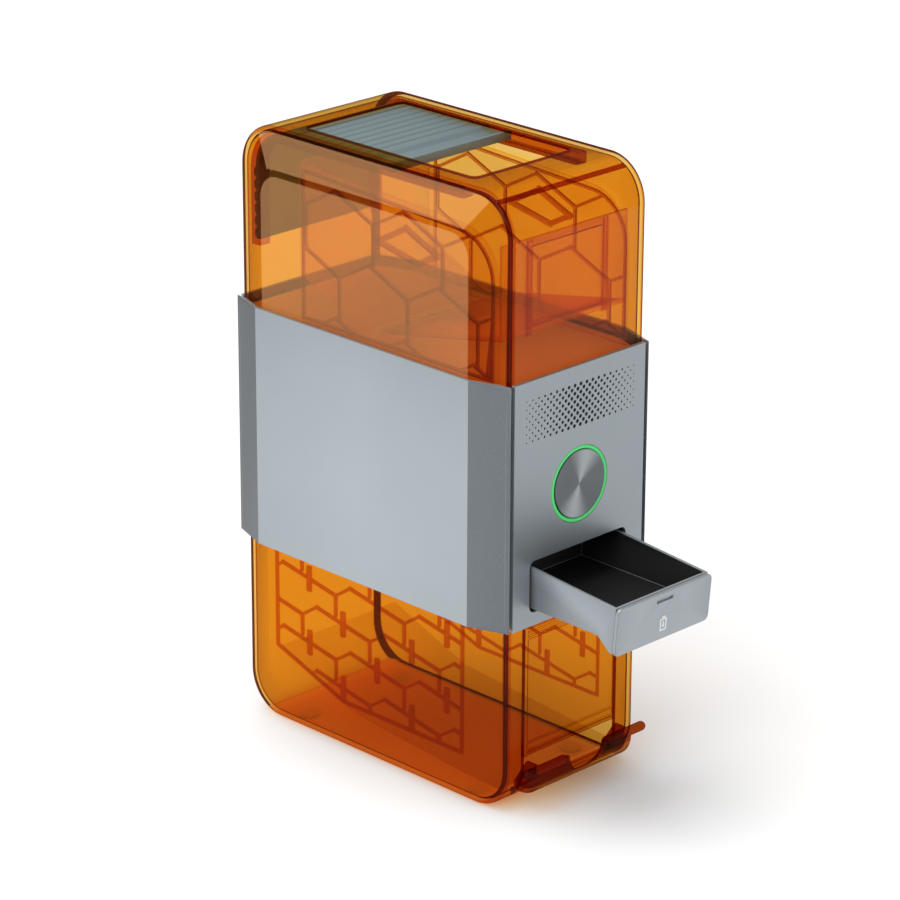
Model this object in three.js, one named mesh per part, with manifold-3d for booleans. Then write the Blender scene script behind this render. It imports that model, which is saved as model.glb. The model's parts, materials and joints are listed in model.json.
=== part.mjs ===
// Battery handling station. An amber hopper with a roller-shutter lid stands on a metal housing that
// feeds, charges and sorts round cells. Good cells drop into the amber store below it, roll down a ramp
// and wait in a tipping scoop; rejected cells fall into a drawer in the front of the housing.
// Millimetres, +Z up, front towards -Y, origin at the middle of the footprint.
import * as THREE from "three";
import { ConvexGeometry } from "three/addons/geometries/ConvexGeometry.js";
import { mergeVertices } from "three/addons/utils/BufferGeometryUtils.js";
import Module from "manifold-3d";

const wasm = await Module();
wasm.setup();

// ---- driving dimensions -------------------------------------------------------------------------
const HEIGHT = 360;
const GAP = 0.3; // kept between pieces that touch
const HOUSING = { halfWidth: 62.8, halfDepth: 108.9, bottom: 112, top: 255.4, wall: 2.3 };
const CHAMFER = { x: 8.5, y: 24.2 }; // on the housing's four upright corners
const SHELL_WALL = 2.5;
const CROWN = { arc: 28, innerArc: 16, bevel: 22.5 }; // round top and bottom ends of the shells
const UPPER = { inset: 2.65, base: 251 };
const LOWER = { inset: 3.9, base: 117 };
const FOOT = { x: 38, y: 70, radius: 6, height: 1.2 }; // rubber pads let into the base
const DECK = { upper: 247.6, lower: 117.6, thickness: 2.6 };
const HATCH = { halfWidth: 38.5, front: -64.5, rear: 69.3, corner: 4 }; // opening in the top
const LID = { halfWidth: 46, low: 352.1, high: 356.3, front: -10, ridge: 9.2, pitch: 7.4, slats: 9 };
const CELL = { radius: 7.25, length: 50.5 }; // the round cells that the station handles
const BUTTON = { z: 186, radius: 19.8, ring: 22, travel: 1.5 };
const GRILLE = { z: 232.6, halfWidth: 43.5, columns: 18, rowPitch: 7.6 };
const BAY = { halfWidth: 38.6, bottom: 119.7, top: 150.3, corner: 4 }; // drawer opening
const DRAWER = { travel: 65.5, tilt: THREE.MathUtils.degToRad(4.9), halfWidth: 37, wall: 1.8 };
const DRUM = { y: 10, z: 222.5, radius: 23, pockets: 6, halfLength: CELL.length / 2 + 1.25 };
const GEAR = { module: 1, wheelTeeth: 36, pinionTeeth: 12, x: 31, width: 6 };
const WINDOW = { halfWidth: 37, bottom: 31, top: 108.4 };
const SCOOP = { halfWidth: 36.8, lipHalfWidth: 49, y: -102, z: 25, radius: 16, wall: 2, top: 29 };
const SCOOP_PIN = { y: -98.2, z: 10.7, radius: 0.9, reach: 40 };

// ---- materials ----------------------------------------------------------------------------------
const FINISHES = {
  amber: { color: 0xe07a12, roughness: 0.12, metalness: 0, transparent: true, opacity: 0.55 },
  housing: { color: 0xa6adb2, roughness: 0.42, metalness: 0.7 },
  slat: { color: 0x7d8c8e, roughness: 0.5, metalness: 0.1 },
  dark: { color: 0x1b1c1e, roughness: 0.6, metalness: 0 },
  spun: { color: 0xb9bdc0, roughness: 0.25, metalness: 1 },
  light: { color: 0x35d06a, roughness: 0.3, metalness: 0 },
  steel: { color: 0xc2c4c6, roughness: 0.3, metalness: 1 },
  orange: { color: 0xb8662a, roughness: 0.5, metalness: 0 },
  board: { color: 0x1f5a3a, roughness: 0.5, metalness: 0 },
  gear: { color: 0xe6e3d8, roughness: 0.5, metalness: 0 },
  brass: { color: 0xb58d3d, roughness: 0.35, metalness: 1 },
  foot: { color: 0x2a2a2b, roughness: 0.85, metalness: 0 },
};

// ---- solids -------------------------------------------------------------------------------------
function solid(geometry) {
  const bare = geometry.index ? geometry.toNonIndexed() : geometry.clone();
  bare.deleteAttribute("normal");
  bare.deleteAttribute("uv");
  const merged = mergeVertices(bare, 1e-4);
  const vertProperties = merged.attributes.position.array;
  return new wasm.Manifold(new wasm.Mesh({ numProp: 3, vertProperties, triVerts: merged.index.array }));
}

function geometryOf(body) {
  const { vertProperties, triVerts } = body.getMesh();
  const geometry = new THREE.BufferGeometry();
  geometry.setAttribute("position", new THREE.BufferAttribute(vertProperties, 3));
  geometry.setIndex(new THREE.BufferAttribute(triVerts, 1));
  geometry.computeVertexNormals();
  return geometry;
}

const join = (...bodies) => bodies.reduce((a, b) => a.add(b));
const cut = (body, ...tools) => tools.reduce((a, b) => a.subtract(b), body);

function box(x0, x1, y0, y1, z0, z1) {
  const geometry = new THREE.BoxGeometry(x1 - x0, y1 - y0, z1 - z0);
  return solid(geometry.translate((x0 + x1) / 2, (y0 + y1) / 2, (z0 + z1) / 2));
}

function extrude(outline, depth) {
  const points = (outline) => outline.map(([u, v]) => new THREE.Vector2(u, v));
  const shape = outline instanceof THREE.Shape ? outline : new THREE.Shape(points(outline));
  return new THREE.ExtrudeGeometry(shape, { depth, bevelEnabled: false, curveSegments: 6 });
}

// An outline in (x, y) drawn up from z0 to z1.
const prismZ = (outline, z0, z1) => solid(extrude(outline, z1 - z0).translate(0, 0, z0));

// An outline in (y, z) drawn along X.
function prismX(outline, x0, x1) {
  const turn = new THREE.Matrix4().makeBasis(
    new THREE.Vector3(0, 1, 0),
    new THREE.Vector3(0, 0, 1),
    new THREE.Vector3(1, 0, 0),
  );
  return solid(extrude(outline, x1 - x0).applyMatrix4(turn).translate(x0, 0, 0));
}

// An outline in (x, z) drawn along Y.
function prismY(outline, y0, y1) {
  return solid(extrude(outline, y1 - y0).rotateX(Math.PI / 2).translate(0, y1, 0));
}

function rod(axis, radius, from, to, [u, v], sides = 24) {
  const geometry = new THREE.CylinderGeometry(radius, radius, to - from, sides);
  const middle = (from + to) / 2;
  if (axis === "x") return solid(geometry.rotateZ(-Math.PI / 2).translate(middle, u, v));
  if (axis === "y") return solid(geometry.translate(u, middle, v));
  return solid(geometry.rotateX(Math.PI / 2).translate(u, v, middle));
}

// A rectangle with round corners, centred on (u, v).
function roundedRectangle(halfU, halfV, radius, u = 0, v = 0) {
  const shape = new THREE.Shape();
  shape.absarc(u + halfU - radius, v + halfV - radius, radius, 0, Math.PI / 2);
  shape.absarc(u - halfU + radius, v + halfV - radius, radius, Math.PI / 2, Math.PI);
  shape.absarc(u - halfU + radius, v - halfV + radius, radius, Math.PI, Math.PI * 1.5);
  shape.absarc(u + halfU - radius, v - halfV + radius, radius, Math.PI * 1.5, Math.PI * 2);
  shape.closePath();
  return shape;
}

function arcPoints(u, v, radius, from, to, steps) {
  const points = [];
  for (let i = 0; i <= steps; i++) {
    const angle = THREE.MathUtils.degToRad(from + ((to - from) * i) / steps);
    points.push([u + radius * Math.cos(angle), v + radius * Math.sin(angle)]);
  }
  return points;
}

// ---- the scene graph ----------------------------------------------------------------------------
const station = new THREE.Group();
station.name = "battery_station";

function piece(name, finish, body, parent = station) {
  const mesh = new THREE.Mesh(geometryOf(body), new THREE.MeshStandardMaterial(FINISHES[finish]));
  mesh.name = name;
  parent.add(mesh);
}

const mirrored = (body) => body.mirror([1, 0, 0]);

function pair(name, finish, right, parent = station) {
  piece(name + "_right", finish, right, parent);
  piece(name + "_left", finish, mirrored(right), parent);
}

// ---- chamfered plan of the housing and the shells -----------------------------------------------
function planAt(inset) {
  return {
    x: HOUSING.halfWidth - inset,
    y: HOUSING.halfDepth - inset,
    cutX: CHAMFER.x - 0.29 * inset,
    cutY: CHAMFER.y - 0.83 * inset,
  };
}

function planOutline(inset) {
  const { x, y, cutX, cutY } = planAt(inset);
  const quarter = [
    [x, y - cutY],
    [x - cutX, y],
  ];
  const half = [...quarter, ...quarter.map(([u, v]) => [-u, v]).reverse()];
  return [...half, ...half.map(([u, v]) => [-u, -v])];
}

// A shell's outer or inner form: chamfered in plan, with its crown (the closed end) round in side view.
// sign is 1 for a crown at the top and -1 for one at the bottom.
function shellForm(inset, base, crown, sign) {
  const { x, y, cutX, cutY } = planAt(inset);
  const points = [];
  const contour = (at, halfDepth, end, radius) => {
    for (const side of [-1, 1]) {
      points.push(new THREE.Vector3(at, side * halfDepth, base));
      for (const [u, v] of arcPoints(halfDepth - radius, 0, radius, 0, 90, 6)) {
        points.push(new THREE.Vector3(at, side * u, end - sign * (radius - v)));
      }
    }
  };
  for (const side of [-1, 1]) {
    contour(side * (x - cutX), y, crown, CROWN.arc - inset);
    contour(side * x, y - cutY, crown - sign * CROWN.bevel, CROWN.innerArc);
  }
  return solid(new ConvexGeometry(points));
}

// ---- housing ------------------------------------------------------------------------------------
const PANEL = { halfWidth: 51.6, outer: HOUSING.halfDepth, thickness: 2.4 };

function sideCover() {
  const ring = cut(
    prismZ(planOutline(0), HOUSING.bottom, HOUSING.top),
    prismZ(planOutline(HOUSING.wall), HOUSING.bottom - 1, HOUSING.top + 1),
  );
  const seam = HOUSING.halfWidth - CHAMFER.x;
  const { halfWidth, halfDepth } = HOUSING;
  const cover = ring.intersect(box(seam, halfWidth, -halfDepth, halfDepth, 0, HEIGHT));
  const back = PANEL.outer - PANEL.thickness - GAP;
  const flange = box(46, seam + 1, back - 2, back, LOWER.base + GAP, UPPER.base - GAP);
  return join(cover, flange, flange.mirror([0, 1, 0]));
}

// A flat panel between the two side covers, from y0 to y1.
function panelPlate(y0, y1) {
  return box(-PANEL.halfWidth, PANEL.halfWidth, y0, y1, HOUSING.bottom, HOUSING.top);
}

function grilleHoles() {
  const { columns, rowPitch } = GRILLE;
  const pitch = (2 * GRILLE.halfWidth) / columns;
  const holes = [];
  for (let i = 0; i <= columns; i++) {
    const x = -GRILLE.halfWidth + i * pitch;
    const radius = 1.7 - 0.9 * Math.abs(x / GRILLE.halfWidth);
    const rows = i % 2 ? [-1, 0, 1] : [-0.5, 0.5];
    for (const row of rows) holes.push(rod("y", radius, -120, -100, [x, GRILLE.z + row * rowPitch], 6));
  }
  return holes;
}

function frontPanel() {
  const front = -PANEL.outer;
  const bayMiddle = (BAY.top + BAY.bottom) / 2;
  const bay = roundedRectangle(BAY.halfWidth, BAY.top - bayMiddle, BAY.corner, 0, bayMiddle);
  return cut(
    panelPlate(front, front + PANEL.thickness),
    rod("y", BUTTON.ring + GAP, front - 5, front + 5, [0, BUTTON.z], 48),
    prismY(bay, front - 5, front + 5),
    ...grilleHoles(),
  );
}

const INLET = { halfWidth: 6, z: 132, halfHeight: 4 };
const VENT = { rows: 6, halfWidth: 30, z: 205, pitch: 6, height: 2.4 };

function rearPanel() {
  const back = PANEL.outer;
  const slots = [];
  for (let i = 0; i < VENT.rows; i++) {
    const z = VENT.z + i * VENT.pitch;
    slots.push(box(-VENT.halfWidth, VENT.halfWidth, back - 5, back + 5, z, z + VENT.height));
  }
  const inlet = box(
    -INLET.halfWidth - GAP, INLET.halfWidth + GAP, back - 5, back + 5,
    INLET.z - INLET.halfHeight - GAP, INLET.z + INLET.halfHeight + GAP,
  );
  return cut(panelPlate(back - PANEL.thickness, back), inlet, ...slots);
}

function deck(bottom, { halfWidth, front, rear }) {
  const outline = planOutline(HOUSING.wall + GAP + 2.4);
  const hole = box(-halfWidth, halfWidth, front, rear, 0, HEIGHT);
  return cut(prismZ(outline, bottom, bottom + DECK.thickness), hole);
}

const THROAT = { halfWidth: 28, front: -1, rear: 21 }; // cells pass the upper deck one by one
const CHUTE = { halfWidth: 28, front: 24, rear: 54 }; // and leave through the lower deck

function addHousing() {
  pair("side_cover", "housing", sideCover());
  piece("front_panel", "housing", frontPanel());
  piece("rear_panel", "housing", rearPanel());
  piece("upper_deck", "orange", deck(DECK.upper, THROAT));
  piece("lower_deck", "dark", deck(DECK.lower, CHUTE));
  const head = PANEL.outer + GAP;
  for (const [i, x] of [-44, 44].entries()) {
    for (const [j, z] of [120, 246].entries()) {
      const screw = cut(
        rod("y", 3, head, head + 1.4, [x, z], 16),
        box(x - 2, x + 2, head + 0.7, head + 2, z - 0.4, z + 0.4),
      );
      piece(`rear_screw_${2 * i + j + 1}`, "steel", screw);
    }
  }
}

// ---- round push button with its light ring ------------------------------------------------------
function addButton() {
  const face = -PANEL.outer - 0.4;
  const centre = [0, BUTTON.z];
  const cap = join(
    rod("y", BUTTON.radius, face, face + 2.6, centre, 48),
    rod("y", 4, face + 2, face + 9, centre, 16),
  );
  piece("button_cap", "spun", cap);
  const ring = cut(
    rod("y", BUTTON.ring, face + 0.2, face + 6, centre, 48),
    rod("y", BUTTON.radius + GAP, face - 1, face + 8, centre, 48),
  );
  piece("button_ring", "light", ring);
  const holder = cut(
    rod("y", BUTTON.ring + 2, face + 6.3, face + 8.3, centre, 32),
    rod("y", 4 + GAP, face, face + 10, centre, 16),
  );
  piece("button_holder", "dark", holder);
  const switchFront = face + 9 + BUTTON.travel + GAP;
  piece("button_switch", "dark", box(-6, 6, switchFront, switchFront + 5, BUTTON.z - 6, BUTTON.z + 6));
}

// ---- reject drawer, drawn shut and level, then pulled out and tipped down -----------------------
const PIVOT = { y: -16, z: 145 };
const DRAWER_FACE = -PANEL.outer;
const DRAWER_TOP = BAY.top - 1.1;
const DRAWER_FLOOR = { front: -94.5, frontZ: 128.6, rear: -13, rearZ: 122.6 };

function drawerTray() {
  const start = DRAWER_FACE + 2.4 + GAP;
  const outline = [
    [start, 121.8],
    [-103.5, 122],
    [DRAWER_FLOOR.front, DRAWER_FLOOR.frontZ],
    [DRAWER_FLOOR.rear, DRAWER_FLOOR.rearZ],
    [DRAWER_FLOOR.rear, DRAWER_TOP],
    [start, DRAWER_TOP],
  ];
  const hollow = [
    [start + 1.6, DRAWER_FLOOR.frontZ + DRAWER.wall + 1],
    [DRAWER_FLOOR.rear - DRAWER.wall, DRAWER_FLOOR.rearZ + DRAWER.wall],
    [DRAWER_FLOOR.rear - DRAWER.wall, DRAWER_TOP + 5],
    [start + 1.6, DRAWER_TOP + 5],
  ];
  const inside = DRAWER.halfWidth - DRAWER.wall;
  return cut(
    prismX(outline, -DRAWER.halfWidth, DRAWER.halfWidth),
    prismX(hollow, -inside, inside),
    rod("x", 1.8, -50, 50, [PIVOT.y, PIVOT.z], 16),
  );
}

function drawerFront() {
  const bottom = BAY.bottom + 1.1;
  const half = (DRAWER_TOP - bottom) / 2;
  const outline = roundedRectangle(DRAWER.halfWidth + 0.8, half, 3.4, 0, bottom + half);
  const slotZ = DRAWER_TOP - 5.4;
  const slot = box(-6.4, 6.4, DRAWER_FACE - 5, DRAWER_FACE + 1.6, slotZ, slotZ + 1.8);
  return cut(prismY(outline, DRAWER_FACE, DRAWER_FACE + 2.4), slot);
}

function drawerLatch() {
  const y = DRAWER_FACE + 2.4 + GAP + 1.6 + GAP;
  const slider = box(-9, 9, y, y + 3, DRAWER_TOP - 7, DRAWER_TOP - 4);
  const tab = box(-5, 5, y, y + 1.2, DRAWER_TOP - 11, DRAWER_TOP - 4);
  return join(slider, tab);
}

const ARM = { inner: DRAWER.halfWidth + GAP + 0.3, outer: DRAWER.halfWidth + 2.6 };
const RAIL = { inner: ARM.outer + GAP + 0.2, outer: ARM.outer + 4, bottom: 139, top: 149.5 };

function drawerCarriage() {
  const rear = DRAWER_FLOOR.rear;
  const arm = box(ARM.inner, ARM.outer, PIVOT.y - 8, rear + 6, PIVOT.z - 4, PIVOT.z + 3);
  const pin = rod("x", 1.5, DRAWER.halfWidth - DRAWER.wall, ARM.outer, [PIVOT.y, PIVOT.z], 16);
  const tongue = box(ARM.outer - 0.5, ARM.outer + 2, PIVOT.y - 8, rear + 6, PIVOT.z - 1, PIVOT.z + 1);
  const bar = box(-ARM.outer, ARM.outer, rear + 2, rear + 6, PIVOT.z - 4, PIVOT.z + 3);
  const side = join(arm, pin, tongue);
  return join(bar, side, mirrored(side));
}

function addDrawer() {
  const drawer = new THREE.Group();
  drawer.position.set(0, PIVOT.y - DRAWER.travel, PIVOT.z);
  drawer.rotation.x = DRAWER.tilt;
  station.add(drawer);
  const toPivot = [0, -PIVOT.y, -PIVOT.z];
  piece("drawer_tray", "housing", drawerTray().translate(toPivot), drawer);
  piece("drawer_front", "housing", drawerFront().translate(toPivot), drawer);
  piece("drawer_latch", "slat", drawerLatch().translate(toPivot), drawer);
  piece("drawer_carriage", "dark", drawerCarriage().translate([0, -DRAWER.travel, 0]));
  const railFront = -PANEL.outer + PANEL.thickness + 3;
  const rail = cut(
    box(RAIL.inner, RAIL.outer, railFront, 2, RAIL.bottom, RAIL.top),
    box(0, RAIL.inner + 2.4, railFront - 5, 10, PIVOT.z - 1 - GAP, PIVOT.z + 1 + GAP),
  );
  pair("drawer_rail", "steel", rail);
  const front = -PANEL.outer + PANEL.thickness + 2.8;
  const outside = RAIL.outer + GAP + 1.4;
  const sleeve = cut(
    box(-outside, outside, front, 4, DECK.lower + DECK.thickness + GAP, 153.5),
    box(-outside + 1.4, outside - 1.4, front - 5, 2.6, DECK.lower + DECK.thickness + GAP + 1.2, 152.1),
  );
  piece("drawer_bay", "dark", sleeve);
}

// ---- cooling fan behind the grille --------------------------------------------------------------
const FAN = { z: 232.3, half: 14.8, front: -101, depth: 8, bore: 13.8 };

function addFan() {
  const { z, half, front, depth, bore } = FAN;
  const frame = cut(
    prismY(roundedRectangle(half, half, 3, 0, z), front, front + depth),
    rod("y", bore, front - 5, front + depth + 5, [0, z], 32),
  );
  const spider = join(
    box(-bore - 0.5, bore + 0.5, front + depth - 1.2, front + depth, z - 1, z + 1),
    rod("y", 5, front + depth - 1.2, front + depth, [0, z], 20),
  );
  piece("fan_frame", "dark", join(frame, spider));
  const blades = [];
  const blade = solid(new THREE.BoxGeometry(1, 4, 8.4).rotateZ(0.6).translate(0, 0, 8.6));
  for (let i = 0; i < 7; i++) blades.push(blade.rotate([0, (360 / 7) * i, 0]));
  const rotor = join(rod("y", 5.4, -2.6, 2.6, [0, 0], 20), ...blades).translate([0, front + 3.4, z]);
  piece("fan_rotor", "dark", rotor);
}

// ---- feed drum, its gear train and the charging cradle ------------------------------------------
function gearOutline(teeth, module, phase) {
  const root = (module * (teeth - 2.4)) / 2;
  const tip = (module * (teeth + 1.7)) / 2;
  const points = [];
  for (let i = 0; i < teeth; i++) {
    const middle = phase + (2 * Math.PI * i) / teeth;
    const foot = (0.62 * Math.PI) / teeth;
    const crest = (0.24 * Math.PI) / teeth;
    for (const [angle, radius] of [[-foot, root], [-crest, tip], [crest, tip], [foot, root]]) {
      points.push([radius * Math.cos(middle + angle), radius * Math.sin(middle + angle)]);
    }
  }
  return points;
}

function feedDrum() {
  const { radius, pockets, halfLength } = DRUM;
  const pocketRadius = CELL.radius + 0.5;
  const body = rod("x", radius, -halfLength, halfLength, [0, 0], 36);
  const cuts = [];
  for (let i = 0; i < pockets; i++) {
    const angle = Math.PI / 2 + (2 * Math.PI * i) / pockets;
    const at = [(radius - 1) * Math.cos(angle), (radius - 1) * Math.sin(angle)];
    cuts.push(rod("x", pocketRadius, -halfLength - 1, halfLength + 1, at, 16));
  }
  const axle = rod("x", 3, -halfLength - 5, GEAR.x - 0.3, [0, 0], 16);
  return join(cut(body, ...cuts), axle).translate([0, DRUM.y, DRUM.z]);
}

function addFeed() {
  const { module, wheelTeeth, pinionTeeth, x, width } = GEAR;
  const spread = (module * (wheelTeeth + pinionTeeth)) / 2;
  const pinionAt = [DRUM.y + spread, DRUM.z];
  piece("feed_drum", "gear", feedDrum());
  const wheel = prismX(gearOutline(wheelTeeth, module, 0), x, x + width).translate([0, DRUM.y, DRUM.z]);
  piece("drum_gear", "gear", wheel);
  const pinion = prismX(gearOutline(pinionTeeth, module, Math.PI / pinionTeeth), x, x + width);
  const shaft = rod("x", 1.2, x - 2, x + width + 1.2, [0, 0], 12);
  piece("motor_pinion", "brass", join(pinion, shaft).translate([0, ...pinionAt]));
  const motorStart = x + width + 4;
  piece("drum_motor", "steel", rod("x", 10, motorStart, motorStart + 15, pinionAt, 28));
  const plate = cut(
    box(x + width + 1.6, x + width + 3.6, DRUM.y - 6, DRUM.y + 38, 206, DECK.upper - GAP),
    rod("x", 2, 30, 50, pinionAt, 16),
    rod("x", 4, 30, 50, [DRUM.y, DRUM.z], 16),
  );
  piece("motor_plate", "steel", plate);
  const cheek = cut(
    box(DRUM.halfLength + 0.6, DRUM.halfLength + 2.6, DRUM.y - 14, DRUM.y + 14, 196, DECK.upper - GAP),
    rod("x", 3 + GAP, 20, 40, [DRUM.y, DRUM.z], 20),
  );
  pair("drum_bracket", "steel", cheek);
}

const CRADLE = { bays: 4, pitch: 16.4, y: -24, top: 186, bottom: 170, halfLength: DRUM.halfLength + 0.5 };

function addCharger() {
  const { bays, pitch, y, top, bottom, halfLength } = CRADLE;
  const end = y + bays * pitch;
  const troughs = [];
  for (let i = 0; i < bays; i++) {
    const at = [y + pitch * (i + 0.5), top + 0.5];
    troughs.push(rod("x", CELL.radius + 0.4, -halfLength - 1, halfLength + 1, at, 20));
  }
  piece("charge_cradle", "dark", cut(box(-halfLength, halfLength, y, end, bottom, top), ...troughs));
  const strip = [box(halfLength + GAP, halfLength + 1.3, y, end, bottom, top + 4)];
  for (let i = 0; i < bays; i++) {
    const middle = y + pitch * (i + 0.5);
    strip.push(box(halfLength - 0.6, halfLength + 0.6, middle - 2.5, middle + 2.5, top - 3, top + 3));
  }
  pair("contact_strip", "brass", join(...strip));
}

const FLAP = { y: 26, z: 160, length: 17, halfWidth: 27 };

function addSorter() {
  const { y, z, length, halfWidth } = FLAP;
  const flap = join(
    rod("x", 1.6, -halfWidth - 3, halfWidth + 6, [0, 0], 16),
    box(-halfWidth, halfWidth, -0.8, 0.8, -length, 0),
  );
  piece("sorting_flap", "slat", flap.translate([0, y, z]));
  const arm = halfWidth + 6 + GAP;
  piece("flap_servo", "dark", box(arm, arm + 18, y - 6, y + 17, z - 6, z + 6));
}

function addElectronics() {
  const inner = HOUSING.halfWidth - HOUSING.wall;
  piece("main_board", "board", box(-inner + 2, -inner + 3.6, -74, 76, 158, 242));
  piece("power_module", "dark", box(-inner + 3.9, -inner + 19, 44, 72, 162, 200));
  const back = PANEL.outer;
  const { halfWidth, z, halfHeight } = INLET;
  const slot = roundedRectangle(4.5, 1.6, 1.5, 0, z);
  const inlet = cut(
    box(-halfWidth, halfWidth, back - 9, back + 0.2, z - halfHeight, z + halfHeight),
    prismY(slot, back - 6.5, back + 5),
  );
  piece("power_inlet", "dark", join(inlet, box(-3.2, 3.2, back - 7, back - 1.5, z - 0.4, z + 0.4)));
}

// ---- hopper: amber shell, liner and roller-shutter lid ------------------------------------------
// The lid turns round this line at the rear of the crown.
const BEND = { y: HOUSING.halfDepth - UPPER.inset - CROWN.arc, z: HEIGHT - CROWN.arc };

function upperShell() {
  const hatchY = (HATCH.front + HATCH.rear) / 2;
  const hatch = roundedRectangle(HATCH.halfWidth, HATCH.rear - hatchY, HATCH.corner, 0, hatchY);
  return cut(
    shellForm(UPPER.inset, UPPER.base, HEIGHT, 1),
    shellForm(UPPER.inset + SHELL_WALL, UPPER.base - 1, HEIGHT - SHELL_WALL, 1),
    prismZ(hatch, HEIGHT - 20, HEIGHT + 5),
  );
}

// The lid's path seen from the side, between two heights above its middle line: along the top from
// startY, round the bend and down the rear to endZ.
function lidBand(low, high, startY, endZ) {
  const middle = (LID.low + LID.high) / 2 - BEND.z;
  return [
    [startY, BEND.z + middle + low],
    ...arcPoints(BEND.y, BEND.z, middle + low, 90, 0, 8),
    [BEND.y + middle + low, endZ],
    [BEND.y + middle + high, endZ],
    ...arcPoints(BEND.y, BEND.z, middle + high, 0, 90, 8),
    [startY, BEND.z + middle + high],
  ];
}

const CURTAIN_END = 289;

function lidTrack() {
  const start = HATCH.front - 1;
  const end = CURTAIN_END - 3;
  const cheek = prismX(lidBand(-4.4, 2.5, start, end), LID.halfWidth + GAP, LID.halfWidth + 2.2);
  const ledge = prismX(lidBand(-4.4, -2.1 - GAP, start, end), 40, LID.halfWidth + 1);
  return join(cheek, ledge);
}

// Slats seen from the side: flat tops with a sloping step down between them.
function slatOutline(count, start) {
  const end = start + count * LID.pitch - GAP;
  const outline = [
    [end, LID.low],
    [start, LID.low],
  ];
  for (let i = 0; i < count; i++) {
    const y = start + i * LID.pitch;
    outline.push([y, LID.high - 1.6], [y + 1.6, LID.high]);
    outline.push([y + LID.pitch - 1, LID.high], [y + LID.pitch - GAP, LID.high - 1.6]);
  }
  return outline;
}

function curtainRun() {
  return prismX(slatOutline(LID.slats, LID.ridge + GAP), -LID.halfWidth, LID.halfWidth);
}

function frontSlat() {
  const { front, ridge, low } = LID;
  const crest = HEIGHT - SHELL_WALL - GAP - 0.1;
  const outline = [
    [front, low - 0.2],
    [ridge, low - 0.2],
    [ridge, crest],
    [ridge - 1.6, crest],
    [ridge - 4, crest - 2.2],
    [front + 5, crest - 2.6],
    [front + 2.4, crest],
    [front, crest],
  ];
  return prismX(outline, -LID.halfWidth, LID.halfWidth);
}

function curtainRear() {
  const start = LID.ridge + GAP + LID.slats * LID.pitch + GAP;
  const low = LID.low - BEND.z;
  const high = LID.high - BEND.z;
  const band = prismX(lidBand(-2.1, 0.5, start, CURTAIN_END), -LID.halfWidth, LID.halfWidth);
  const ribs = [];
  const rib = prismX(
    [
      [BEND.y + low + 1, 0],
      [BEND.y + high - 1.4, 0.2],
      [BEND.y + high, 1.4],
      [BEND.y + high, LID.pitch - 2.4],
      [BEND.y + high - 1.4, LID.pitch - 1.2],
      [BEND.y + low + 1, LID.pitch - 1],
    ],
    -LID.halfWidth,
    LID.halfWidth,
  );
  for (let i = 0; i < 6; i++) ribs.push(rib.translate([0, 0, CURTAIN_END + 0.1 + i * (LID.pitch - 0.2)]));
  return join(band, ...ribs);
}

// A bent plate seen from the side, thickness measured downwards.
function bentPlate(points, thickness, halfWidth) {
  const under = points.map(([y, z]) => [y, z - thickness]).reverse();
  return prismX([...under, ...points], -halfWidth, halfWidth);
}

// A flat bar from (y0, z0) to (y1, z1), standing against a side wall.
function bar([y0, z0], [y1, z1], width, x0, x1) {
  const length = Math.hypot(y1 - y0, z1 - z0) + width;
  const geometry = new THREE.BoxGeometry(x1 - x0, length, width);
  geometry.rotateX(Math.atan2(z1 - z0, y1 - y0));
  return solid(geometry.translate((x0 + x1) / 2, (y0 + y1) / 2, (z0 + z1) / 2));
}

// Long hexagons in rows: sloping bars joined by short uprights, with a cross on each sloping bar.
function combPanel({ rows, columns, y, z, run, drop, rise, step, crosses }, x0, x1) {
  const width = 1.8;
  const bars = [];
  for (let row = 0; row < rows; row++) {
    for (let column = 0; column < columns; column++) {
      const from = [y - column * (run + step) + (row % 2) * (run + step) * 0.5, z - row * (drop + rise)];
      const to = [from[0] - run, from[1] - drop];
      const next = [to[0] - step, from[1]];
      bars.push(bar(from, to, width, x0, x1), bar(to, next, width, x0, x1));
      bars.push(bar(to, [to[0], to[1] - rise], width, x0, x1));
      if (crosses) {
        const middle = [(from[0] + to[0]) / 2, (from[1] + to[1]) / 2];
        bars.push(bar([middle[0], middle[1] - 6], [middle[0], middle[1] + 6], 3.4, x0, x1));
      }
    }
  }
  return join(...bars);
}

// Side wall of the hopper, with raised ribs on its outer face.
const HOPPER_WALL = { inner: 49.6, thickness: 1.4, rib: 1.4, front: -96, rear: 59.8, top: 344, corner: 30 };

function hopperWall() {
  const { inner, thickness, rib, front, rear, top, corner } = HOPPER_WALL;
  const base = DECK.upper + DECK.thickness + GAP;
  const outline = (margin) => [
    [front + margin, base + margin],
    [rear - margin, base + margin],
    [rear - margin, top - margin],
    ...arcPoints(front + corner, top - corner - 6, corner - margin, 90, 180, 8),
  ];
  const face = inner + thickness;
  const plate = prismX(outline(0), inner, face);
  const limits = prismX(outline(3), face - 0.2, face + rib);
  const edge = cut(limits, prismX(outline(4.6), face - 1, face + rib + 1));
  const comb = { rows: 3, columns: 4, y: 84, z: 334, run: 30, drop: 13, rise: 24, step: 24 };
  const [x0, x1] = [face - 0.2, face + rib];
  const corners = [[-4, 313], [-26, 325], [-50, 315], [-35, 307]];
  const diamond = corners.map((from, i) => bar(from, corners[(i + 1) % 4], 3.2, x0, x1));
  return join(plate, edge, join(combPanel(comb, x0, x1), ...diamond).intersect(limits));
}

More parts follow.
